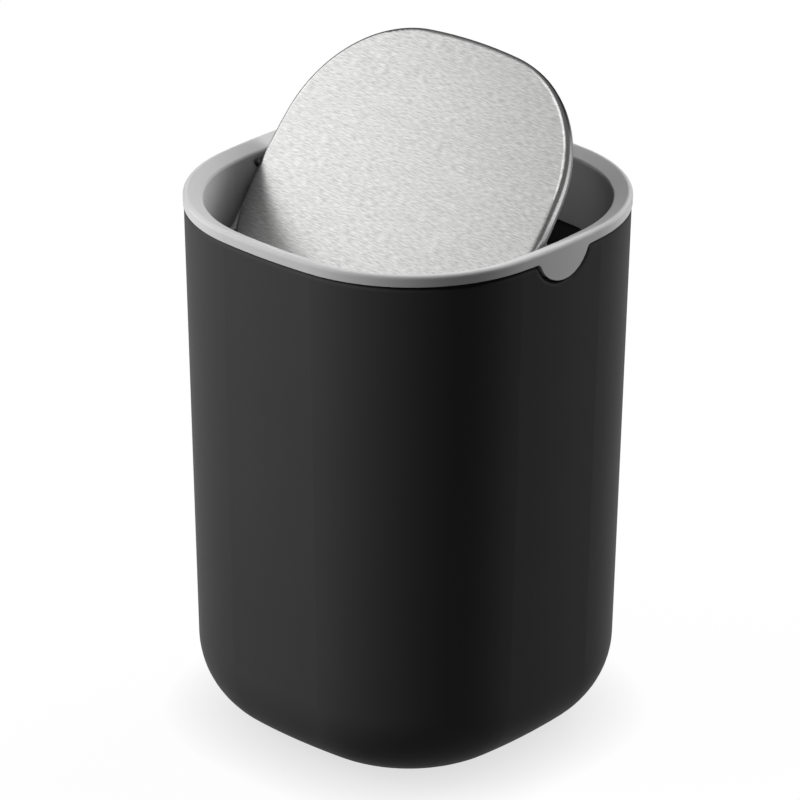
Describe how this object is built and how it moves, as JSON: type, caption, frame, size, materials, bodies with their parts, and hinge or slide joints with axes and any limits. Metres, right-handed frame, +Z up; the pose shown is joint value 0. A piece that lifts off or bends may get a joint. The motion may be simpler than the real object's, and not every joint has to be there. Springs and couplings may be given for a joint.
{
  "type": "countertop waste bin with swing lid",
  "caption": "Rounded-square countertop bin: moulded bucket, lift-off ring with thumb tabs, and a weighted swing lid with a brushed steel face, standing open.",
  "frame": {"origin": "middle of the base, on the plane that the foot pads rest on", "axes": "+Z up; +X along the lid's axis, with a thumb tab at each end; the lid's rear half, at +Y, is raised"},
  "size_m": [0.1604, 0.1604, 0.2724],
  "materials": {
    "bucket_plastic": "fine matte texture, charcoal",
    "ring_plastic": "satin, light grey",
    "cover_steel": "brushed along the lid's axis",
    "carrier_plastic": "satin, mid grey",
    "pin_steel": "ground",
    "weight_steel": "mill finish, zinc plated",
    "screw_steel": "zinc plated",
    "pad_rubber": "soft, black"
  },
  "bodies": {
    "bin": {"bucket": "bucket_plastic", "foot_pad_front_left": "pad_rubber", "foot_pad_front_right": "pad_rubber", "foot_pad_rear_left": "pad_rubber", "foot_pad_rear_right": "pad_rubber"},
    "ring": {"lid_ring": "ring_plastic"},
    "lid": {"lid_cover": "cover_steel", "lid_carrier": "carrier_plastic", "pivot_pin_right": "pin_steel", "pivot_pin_left": "pin_steel", "counterweight": "weight_steel", "counterweight_screws": "screw_steel"}
  },
  "joints": [
    {"name": "ring_lift", "type": "slide", "parent": "bin", "child": "ring", "axis": [0, 0, 1], "range_m": [0, 0.12]},
    {"name": "lid_swing", "type": "hinge", "parent": "ring", "child": "lid", "pos_m": [0, 0, 0.21495], "axis": [1, 0, 0], "range_deg": [-140.8, 39.2]}
  ]
}
